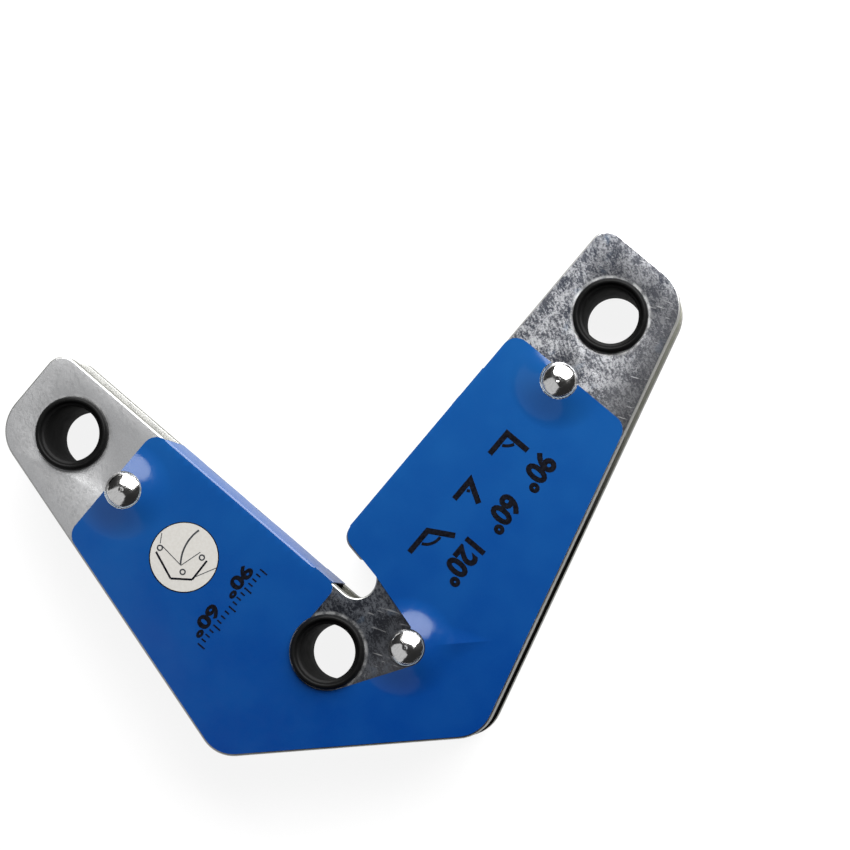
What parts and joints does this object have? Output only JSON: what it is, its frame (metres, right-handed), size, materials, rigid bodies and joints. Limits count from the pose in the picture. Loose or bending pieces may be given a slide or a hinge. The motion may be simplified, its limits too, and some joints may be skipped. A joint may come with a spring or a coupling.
{
  "type": "welding magnet holder",
  "caption": "V-shaped corner welding magnet: riveted steel pole plates with ferrite between them hold steel at 90, 60 or 120 degrees while it is welded.",
  "frame": {"origin": "middle of the outline on the plane the back rests on", "axes": "+Z out of the labelled face, +Y into the mouth of the V, +X towards the long arm"},
  "size_m": [0.1138, 0.0808, 0.0184],
  "materials": {
    "zinc_plate": "bright zinc plating, fine spangle",
    "label_vinyl": "glossy blue vinyl",
    "bushing_plastic": "satin black moulding",
    "rivet_chrome": "polished",
    "spacer_steel": "plain turned steel",
    "ferrite": "dark grey fired ferrite",
    "strip_rubber": "matte black"
  },
  "bodies": {
    "root": {"front_plate": "zinc_plate", "back_plate": "zinc_plate", "face_label": "label_vinyl", "left_bushing": "bushing_plastic", "right_bushing": "bushing_plastic", "lower_bushing": "bushing_plastic", "left_rivet": "rivet_chrome", "right_rivet": "rivet_chrome", "lower_rivet": "rivet_chrome", "left_spacer": "spacer_steel", "right_spacer": "spacer_steel", "lower_spacer": "spacer_steel", "left_upper_magnet": "ferrite", "left_lower_magnet": "ferrite", "right_upper_magnet": "ferrite", "right_lower_magnet": "ferrite", "base_magnet": "ferrite", "outer_edge_strip": "strip_rubber", "left_edge_strip": "strip_rubber"}
  },
  "joints": []
}
